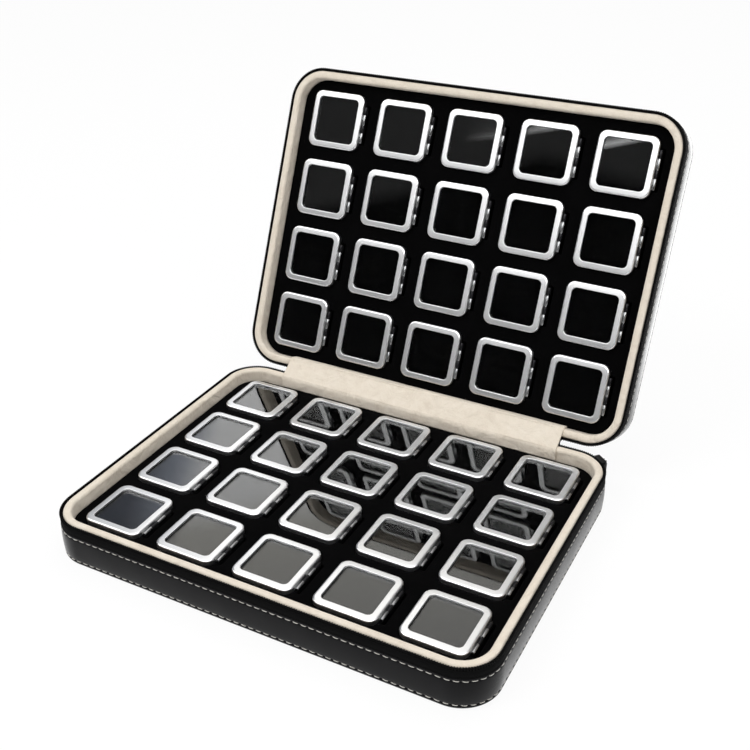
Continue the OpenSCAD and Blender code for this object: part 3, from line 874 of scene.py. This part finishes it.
# Build
FOAM = foam_mesh()
for half, at in HALVES.items():
    swell, creases, thread = SEEDS[half]
    v, f = shell(swell)
    o = piece(half + "_shell_look", v, f, MAT["leather"], half, at, weld=0.0005)
    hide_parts(half + "_shell")
    v, f = stitches(thread)
    piece(half + "_stitches", v, f, MAT["thread"], half, at)
    v, f = lining(creases)
    o = piece(half + "_lining_look", v, f, MAT["suede"], half, at, weld=0.0005, sharp=70)
    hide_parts(half + "_lining")
    v, f = tape_mesh()
    o = piece(half + "_zip_tape_look", v, f, MAT["tape"], half, at)
    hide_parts(half + "_zip_tape")
    v, f = coil_mesh()
    o = piece(half + "_zip_coil_look", v, f, MAT["coil"], half, at)
    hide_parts(half + "_zip_coil")
    v, f = FOAM
    o = piece(half + "_foam_look", v, f, MAT["foam"], half, CASE[half], weld=0.002, sharp=40)
    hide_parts(half + "_foam")
build_boxes()
spine_pieces()
slider_pieces()


# Studio
def stage_floor():
    """White floor that takes the shadow, and that mirrors see brighter behind the case."""
    me = bpy.data.meshes.new("floor")
    s = 6.0
    low = -0.0002
    me.from_pydata([(-s, -s, low), (s, -s, low), (s, s, low), (-s, s, low)], [], [(0, 1, 2, 3)])
    o = bpy.data.objects.new("floor", me)
    bpy.context.scene.collection.objects.link(o)
    n = Surface("floor_white", Base_Color=(0.86, 0.86, 0.86), Roughness=0.9, Specular_IOR_Level=0.1)
    path = n.node("ShaderNodeLightPath")
    seen = n.math("MAXIMUM", path.outputs["Is Camera Ray"], path.outputs["Is Glossy Ray"])
    seen = n.math("MAXIMUM", seen, path.outputs["Is Transmission Ray"])
    place = n.node("ShaderNodeSeparateXYZ", {0: n.node("ShaderNodeTexCoord").outputs["Object"]})
    far = n.rise(place.outputs["Y"], FAR_FROM, FAR_TO, interpolation_type="SMOOTHSTEP")
    mirrored = n.math("MULTIPLY", far, path.outputs["Is Glossy Ray"])
    lit = n.math("MULTIPLY_ADD", mirrored, FAR_GLOW, FLOOR_GLOW)
    glow = n.node("ShaderNodeEmission", {"Color": WHITE, "Strength": lit}).outputs[0]
    look = n.mixed(n.math("MULTIPLY", seen, FLOOR_SHARE), n.shader.outputs[0], glow)
    n.tree.links.new(look, n.tree.nodes["Material Output"].inputs["Surface"])
    me.materials.append(n.material)


def lamp(name, place, aim, size, power):
    """A round area light that mirrors don't show."""
    d = bpy.data.lights.new(name, "AREA")
    d.shape, d.size, d.energy = "DISK", size, power
    o = bpy.data.objects.new(name, d)
    bpy.context.scene.collection.objects.link(o)
    o.location = place
    o.rotation_euler = (Vector(aim) - Vector(place)).to_track_quat("-Z", "Y").to_euler()
    o.visible_glossy = False


def in_front(n, x, z):
    """What lies in front of the case: a grey wall, a softbox over it and a slanted strip in two steps."""
    left = n.math("MULTIPLY", n.math("SUBTRACT", -0.30, x, use_clamp=True), 0.6)
    grey = n.ramp(n.math("ADD", z, left), [(0.445, 0.01), (0.460, 0.17), (0.60, 0.17)])
    softbox = n.ramp(z, [(0.486, 0.0), (0.508, 1.0), (0.62, 0.6), (0.98, 0.30)])
    second = n.math("MULTIPLY", n.math("GREATER_THAN", x, SECOND_X), SECOND_DROP)
    slant = n.math("MULTIPLY", n.math("ADD", x, -STREAK_X), -STREAK_SLOPE)
    tilt = n.math("ADD", n.math("ADD", slant, z), second)
    fade = [(0.4712, 0.0), (0.4725, 1.0), (0.4745, 0.38), (0.480, 0.17), (0.50, 0.09), (0.53, 0.0)]
    streak = n.scaled(n.ramp(tilt, fade), n.math("MULTIPLY", n.rise(x, -0.37, -0.27), STREAK_LIGHT))
    return n.vector("ADD", n.vector("ADD", n.scaled(softbox, SOFTBOX_LIGHT), grey), streak)


def behind(n, x, z):
    """What lies behind the case: a wall, pale high up and left of the middle, bluish and dark at its left
    end and dark on the right."""
    wall = n.ramp(z, [(0.30, 0.05), (0.45, 0.9), (0.50, 1.0), (0.585, 1.0), (0.61, (0.66, 0.647, 0.605)),
                      (0.70, (0.56, 0.55, 0.53)), (0.98, 0.6)])
    across = n.math("MULTIPLY", n.math("ADD", x, 1.0), 0.5)
    blue = [(0.20, (0.07, 0.08, 0.10)), (0.22, (0.14, 0.15, 0.18)), (0.233, (0.42, 0.45, 0.52))]
    sides = n.ramp(across, blue + [(0.243, 1.0), (0.40, 1.0), (0.44, 0.12), (0.80, 0.12), (0.95, 0.5)])
    sides = n.vector("MAXIMUM", sides, n.scaled((1.0, 1.0, 1.0), n.rise(z, 0.70, 0.82)))
    return n.scaled(n.vector("MULTIPLY", wall, sides), WALL_LIGHT)


def studio():
    """White to the camera, soft light on the case, and surroundings that only metal and glass mirror."""
    world = bpy.data.worlds.new("studio")
    bpy.context.scene.world = world
    world.use_nodes = True
    n = Tree(world.node_tree)
    n.tree.nodes.clear()
    place = n.node("ShaderNodeSeparateXYZ", {0: n.node("ShaderNodeTexCoord").outputs["Generated"]})
    x, y, z = place.outputs
    share = n.math("ADD", n.math("MULTIPLY", y, -2.5), 0.5, use_clamp=True)
    sky = n.scaled(behind(n, x, z), n.math("SUBTRACT", 1.0, share))
    sky = n.vector("ADD", n.scaled(in_front(n, x, z), share), sky)
    rays = n.node("ShaderNodeLightPath").outputs
    mirror = n.math("MAXIMUM", rays["Is Glossy Ray"], rays["Is Transmission Ray"])
    plain, seen, white = (n.node("ShaderNodeBackground", {"Color": colour, "Strength": strength}).outputs[0]
                          for colour, strength in ((WHITE, AMBIENT), (sky, 1.0), (WHITE, 1.0)))
    seen = n.mixed(rays["Is Camera Ray"], n.mixed(mirror, plain, seen), white)
    n.node("ShaderNodeOutputWorld", {0: seen})
    lamp("key", (-0.7, -0.9, 1.5), (0, 0, 0.05), 0.9, 11)
    lamp("fill", (1.1, -0.5, 1.0), (0, 0, 0.05), 0.9, 4)
    lamp("top", (0.1, 0.5, 1.7), (0, 0.05, 0.05), 1.0, 7)


def camera():
    """The photo's own view."""
    c = bpy.data.cameras.new("photo")
    o = bpy.data.objects.new("photo", c)
    bpy.context.scene.collection.objects.link(o)
    c.sensor_width, c.lens, c.clip_start, c.clip_end = 36, LENS, 0.01, 50
    o.location = CAMERA_AT
    o.rotation_mode = "QUATERNION"
    o.rotation_quaternion = Quaternion(CAMERA_TURN)
    bpy.context.scene.camera = o


stage_floor()
studio()
camera()
bpy.context.scene.view_settings.view_transform = "Standard"
